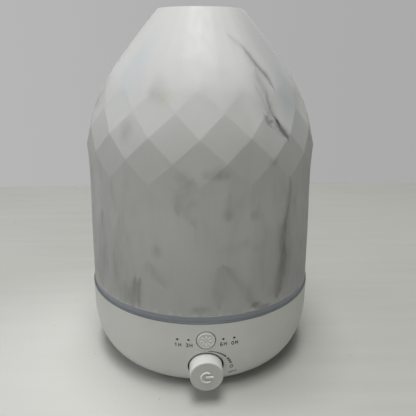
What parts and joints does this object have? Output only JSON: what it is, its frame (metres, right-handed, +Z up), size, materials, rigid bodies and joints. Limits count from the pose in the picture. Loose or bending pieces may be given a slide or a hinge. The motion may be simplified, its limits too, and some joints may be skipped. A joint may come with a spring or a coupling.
{
  "type": "cool mist humidifier",
  "caption": "Round cool mist humidifier: white bowl base with a knob, a button and a light ring, a water tank with a chimney lid, and a faceted marble lift-off cover.",
  "frame": {"origin": "centre of the foot ring, on the table", "axes": "+Z up; the panel with the knob faces -Y; the power inlet faces +Y; +X is to the right of someone who looks at the panel"},
  "size_m": [0.18, 0.1904, 0.2685],
  "materials": {
    "housing_white": "satin white moulded plastic",
    "cover_plate_white": "matt white moulded plastic",
    "foot_rubber": "matt black rubber",
    "screw_steel": "zinc plated steel",
    "ring_smoke": "translucent blue grey plastic",
    "seal_silicone": "soft silicone",
    "lamp_board_white": "white solder mask",
    "lamp_body": "lamp with a phosphor face",
    "tank_clear": "milky moulded plastic",
    "disc_metal": "plated brass",
    "seal_rubber": "black rubber",
    "clamp_steel": "stamped steel",
    "black_plastic": "black moulded plastic",
    "copper_winding": "enamelled copper wire",
    "duct_white": "matt white moulded plastic",
    "filter_foam": "open-cell foam",
    "board_green": "green solder mask",
    "sink_aluminium": "extruded aluminium",
    "capacitor_sleeve": "shrunk sleeve",
    "plug_cream": "cream nylon",
    "smoke_lens": "dark smoked plastic",
    "button_white": "satin white moulded plastic",
    "control_metal": "stamped metal can",
    "knob_white": "satin white moulded plastic",
    "wire_red": "wire insulation",
    "wire_grey": "wire insulation",
    "wire_blue": "wire insulation",
    "wire_white": "wire insulation",
    "wire_yellow": "wire insulation",
    "nozzle_white": "matt white moulded plastic",
    "cover_marble": "glazed white with grey marble veins"
  },
  "bodies": {
    "base": {"base_shell": "housing_white", "bottom_cover": "cover_plate_white", "foot_ring": "foot_rubber", "housing_screws": "screw_steel", "light_ring": "ring_smoke", "ring_seal": "seal_silicone", "lamp_board": "lamp_board_white", "ring_lights": "lamp_body", "water_tank": "tank_clear", "tank_screws": "screw_steel", "mist_disc": "disc_metal", "disc_seal": "seal_rubber", "disc_clamp": "clamp_steel", "clamp_screws": "screw_steel", "fan_frame": "black_plastic", "fan_motor": "copper_winding", "fan_screws": "screw_steel", "fan_duct": "duct_white", "duct_gasket": "seal_rubber", "air_filter": "filter_foam", "main_board": "board_green", "main_board_screws": "screw_steel", "heat_sink": "sink_aluminium", "power_transistor": "black_plastic", "drive_coil": "copper_winding", "capacitors": "capacitor_sleeve", "control_chip": "black_plastic", "board_plugs": "plug_cream", "control_board": "board_green", "control_screws": "screw_steel", "panel_plug": "plug_cream", "timer_lamps": "lamp_body", "light_pipes": "smoke_lens", "switch_body": "black_plastic", "mist_control": "control_metal", "control_nut": "screw_steel", "dc_inlet": "black_plastic", "inlet_pin": "screw_steel", "inlet_nut": "screw_steel", "power_wires": "wire_red", "fan_wires": "wire_grey", "disc_wires": "wire_blue", "panel_wires": "wire_white", "light_wires": "wire_yellow"},
    "fan": {"fan_rotor": "black_plastic", "fan_shaft": "screw_steel"},
    "button": {"timer_button": "button_white", "switch_plunger": "black_plastic"},
    "knob": {"knob": "knob_white", "control_shaft": "sink_aluminium"},
    "lid": {"tank_lid": "tank_clear", "lid_seal": "seal_silicone", "mist_nozzle": "nozzle_white"},
    "cover": {"cover": "cover_marble"}
  },
  "joints": [
    {"name": "cover_lift", "type": "slide", "parent": "lid", "child": "cover", "axis": [0, 0, 1], "range_m": [0, 0.21]},
    {"name": "lid_lift", "type": "slide", "parent": "base", "child": "lid", "axis": [0, 0, 1], "range_m": [0, 0.12]},
    {"name": "knob_turn", "type": "hinge", "parent": "base", "child": "knob", "pos_m": [0, -0.095, 0.0242], "axis": [0, -1, 0], "range_deg": [0, 100]},
    {"name": "button_press", "type": "slide", "parent": "base", "child": "button", "axis": [0, 1, 0], "range_m": [0, 0.0008], "stiffness_N_per_m": 500},
    {"name": "fan_spin", "type": "hinge", "parent": "base", "child": "fan", "pos_m": [-0.034, 0, 0.018], "axis": [0, 0, 1], "continuous": true}
  ]
}
